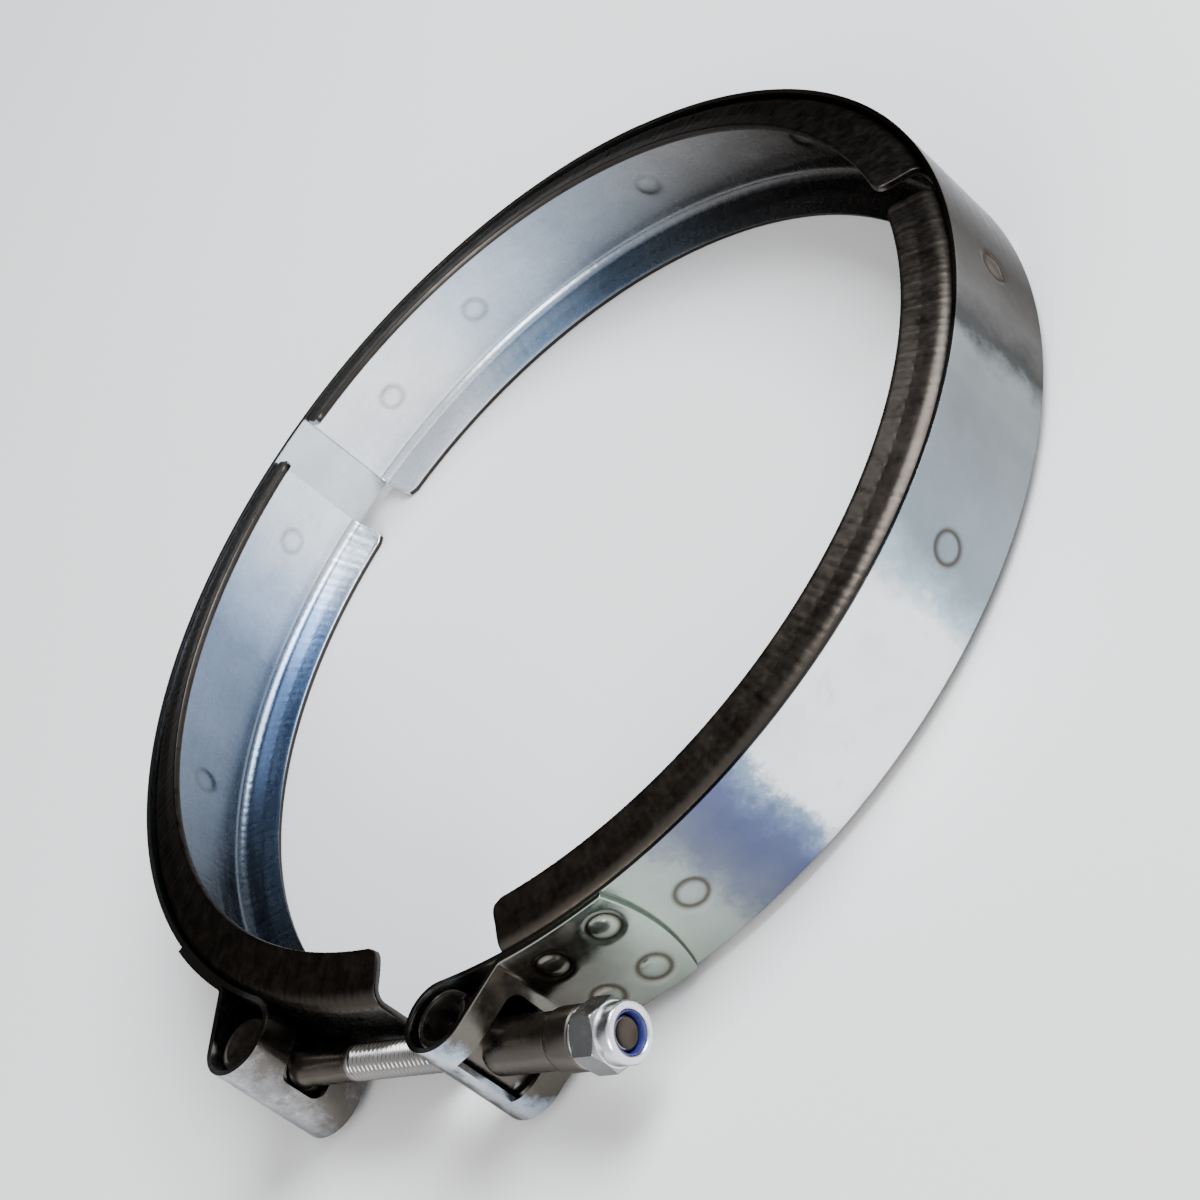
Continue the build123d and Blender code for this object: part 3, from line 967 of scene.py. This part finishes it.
open_ends = bmesh.new()
open_ends.from_mesh(nut.data)
caps = [v for v in open_ends.verts if len(v.link_faces) == NUT_SIDES]
bmesh.ops.delete(open_ends, geom=caps, context="VERTS")
bmesh.ops.remove_doubles(open_ends, verts=open_ends.verts, dist=1e-7)
bmesh.ops.recalc_face_normals(open_ends, faces=open_ends.faces)
open_ends.to_mesh(nut.data)
open_ends.free()
nut.data.shade_smooth()
nut.data.set_sharp_from_angle(angle=math.radians(28))
nut.data.materials.append(nut_steel)
nut.data.materials.append(rim_steel)
finish_by_face(nut, lambda centre, normal: centre[:, 0] > HEX_X[1])
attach(nut, "nut")
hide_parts("nut")


# ---- Nylon ring ----
# A blue-violet nylon ring, trapped by the nut's rolled rim.
# It grips the thread so that the nut can't shake loose.

NYLON_GRAIN_SCALE = 700.0
NYLON_DARK = (0.02, 0.024, 0.13)
NYLON_LIGHT = (0.04, 0.045, 0.2)

nylon = bpy.data.materials.new("nylon")
nylon.use_nodes = True
nodes, links = nylon.node_tree.nodes, nylon.node_tree.links
plastic = nodes["Principled BSDF"]
plastic.inputs["Subsurface Weight"].default_value = 0.1
place = nodes.new("ShaderNodeTexCoord").outputs["Object"]
grain = noise(nodes, links, place, NYLON_GRAIN_SCALE, 4.0, 0.6)
cover = ranged(nodes, links, grain, 0.35, 0.65, 0, 1)
links.new(mixed(nodes, links, cover, NYLON_DARK, NYLON_LIGHT), plastic.inputs["Base Color"])
links.new(ranged(nodes, links, grain, 0.3, 0.7, 0.3, 0.45), plastic.inputs["Roughness"])
ring = turned(
    "nylon_ring_seated",
    [
        (3.34, 51.9),
        (3.26, 52.0),
        (3.12, 51.95),
        (3.02, 51.75),
        (3.0, 51.4),
        (3.0, 49.9),
        (3.36, 49.9),
        (3.38, 51.8),
        (3.34, 51.9),
    ],
    64,
    ALONG_BOLT,
)
ring.data.materials.append(nylon)
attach(ring, "nut")
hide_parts("nylon_ring")


# ---- Camera ----
# A long lens from above and to the right, rolled so that the ring seems to stand on its bolt.

LENS = 100.8
SENSOR = 36
NEAREST = 0.01
CAMERA_AT = Vector((0.3974, -0.2730, 0.2920))
CAMERA_FORWARD = Vector((-0.7001, 0.4778, -0.5307))
CAMERA_UP = Vector((0.1674, 0.8323, 0.5285))
camera = bpy.data.cameras.new("camera")
camera.lens = LENS
camera.sensor_width = SENSOR
camera.clip_start = NEAREST
eye = bpy.data.objects.new("camera", camera)
right = CAMERA_FORWARD.cross(CAMERA_UP).normalized()
up = right.cross(CAMERA_FORWARD).normalized()
turn = Matrix((right, up, -CAMERA_FORWARD.normalized())).transposed().to_4x4()
eye.matrix_world = Matrix.Translation(CAMERA_AT) @ turn
bpy.context.scene.collection.objects.link(eye)
bpy.context.scene.camera = eye


# ---- Floor, lights and surroundings ----
# A pale matt floor under the clamp, a large soft light from the far right and a smaller one in front.
# The sky is white, with a dark part behind the clamp for the steel to mirror.

FLOOR_HALF_SIDE = 3.0
FLOOR_DARK = (0.86, 0.86, 0.86)
FLOOR_LIGHT = (0.9, 0.9, 0.9)
FLOOR_CLOUD_SCALE = 4.0
FLOOR_ROUGHNESS = 0.9
SKY_DARK_WAY = (-0.64, 0.64, 0.42)
SKY_DARK = (0.05, 0.045, 0.04)
SKY_WHITE = (1.0, 1.02, 1.06)

lowest = min(corner[2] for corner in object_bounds())
floor_mesh = bpy.data.meshes.new("floor")
square = ((-1, -1), (1, -1), (1, 1), (-1, 1))
corners = [(x * FLOOR_HALF_SIDE, y * FLOOR_HALF_SIDE, lowest) for x, y in square]
floor_mesh.from_pydata(corners, [], [(0, 1, 2, 3)])
floor = bpy.data.objects.new("floor", floor_mesh)
bpy.context.scene.collection.objects.link(floor)
pale = bpy.data.materials.new("pale_floor")
pale.use_nodes = True
nodes, links = pale.node_tree.nodes, pale.node_tree.links
place = nodes.new("ShaderNodeTexCoord").outputs["Object"]
cloud = noise(nodes, links, place, FLOOR_CLOUD_SCALE)
matt = nodes["Principled BSDF"]
links.new(mixed(nodes, links, cloud, FLOOR_DARK, FLOOR_LIGHT), matt.inputs["Base Color"])
matt.inputs["Roughness"].default_value = FLOOR_ROUGHNESS
floor_mesh.materials.append(pale)
floor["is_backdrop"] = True


def soft_light(name, place, size, power, colour):
    """A square area light that faces the clamp."""
    light = bpy.data.lights.new(name, "AREA")
    light.size = size
    light.energy = power
    light.color = colour
    lamp = bpy.data.objects.new(name, light)
    lamp.location = place
    lamp.rotation_euler = (-Vector(place)).to_track_quat("-Z", "Y").to_euler()
    bpy.context.scene.collection.objects.link(lamp)


soft_light("far_right_light", place=(0.42, 0.5, 0.8), size=0.7, power=22.0, colour=(0.93, 0.96, 1.0))
soft_light("front_light", place=(0.25, -1.0, 0.5), size=0.5, power=9.0, colour=(1.0, 0.99, 0.97))

world = bpy.data.worlds.new("studio")
bpy.context.scene.world = world
world.use_nodes = True
nodes, links = world.node_tree.nodes, world.node_tree.links
direction = nodes.new("ShaderNodeTexCoord").outputs["Generated"]
facing = nodes.new("ShaderNodeVectorMath")
facing.operation = "DOT_PRODUCT"
facing.inputs[1].default_value = SKY_DARK_WAY
links.new(direction, facing.inputs[0])
shade = ranged(nodes, links, facing.outputs["Value"], 0.2, 0.6, 1, 0)
sky = mixed(nodes, links, shade, SKY_DARK, SKY_WHITE)
links.new(sky, nodes["Background"].inputs["Color"])
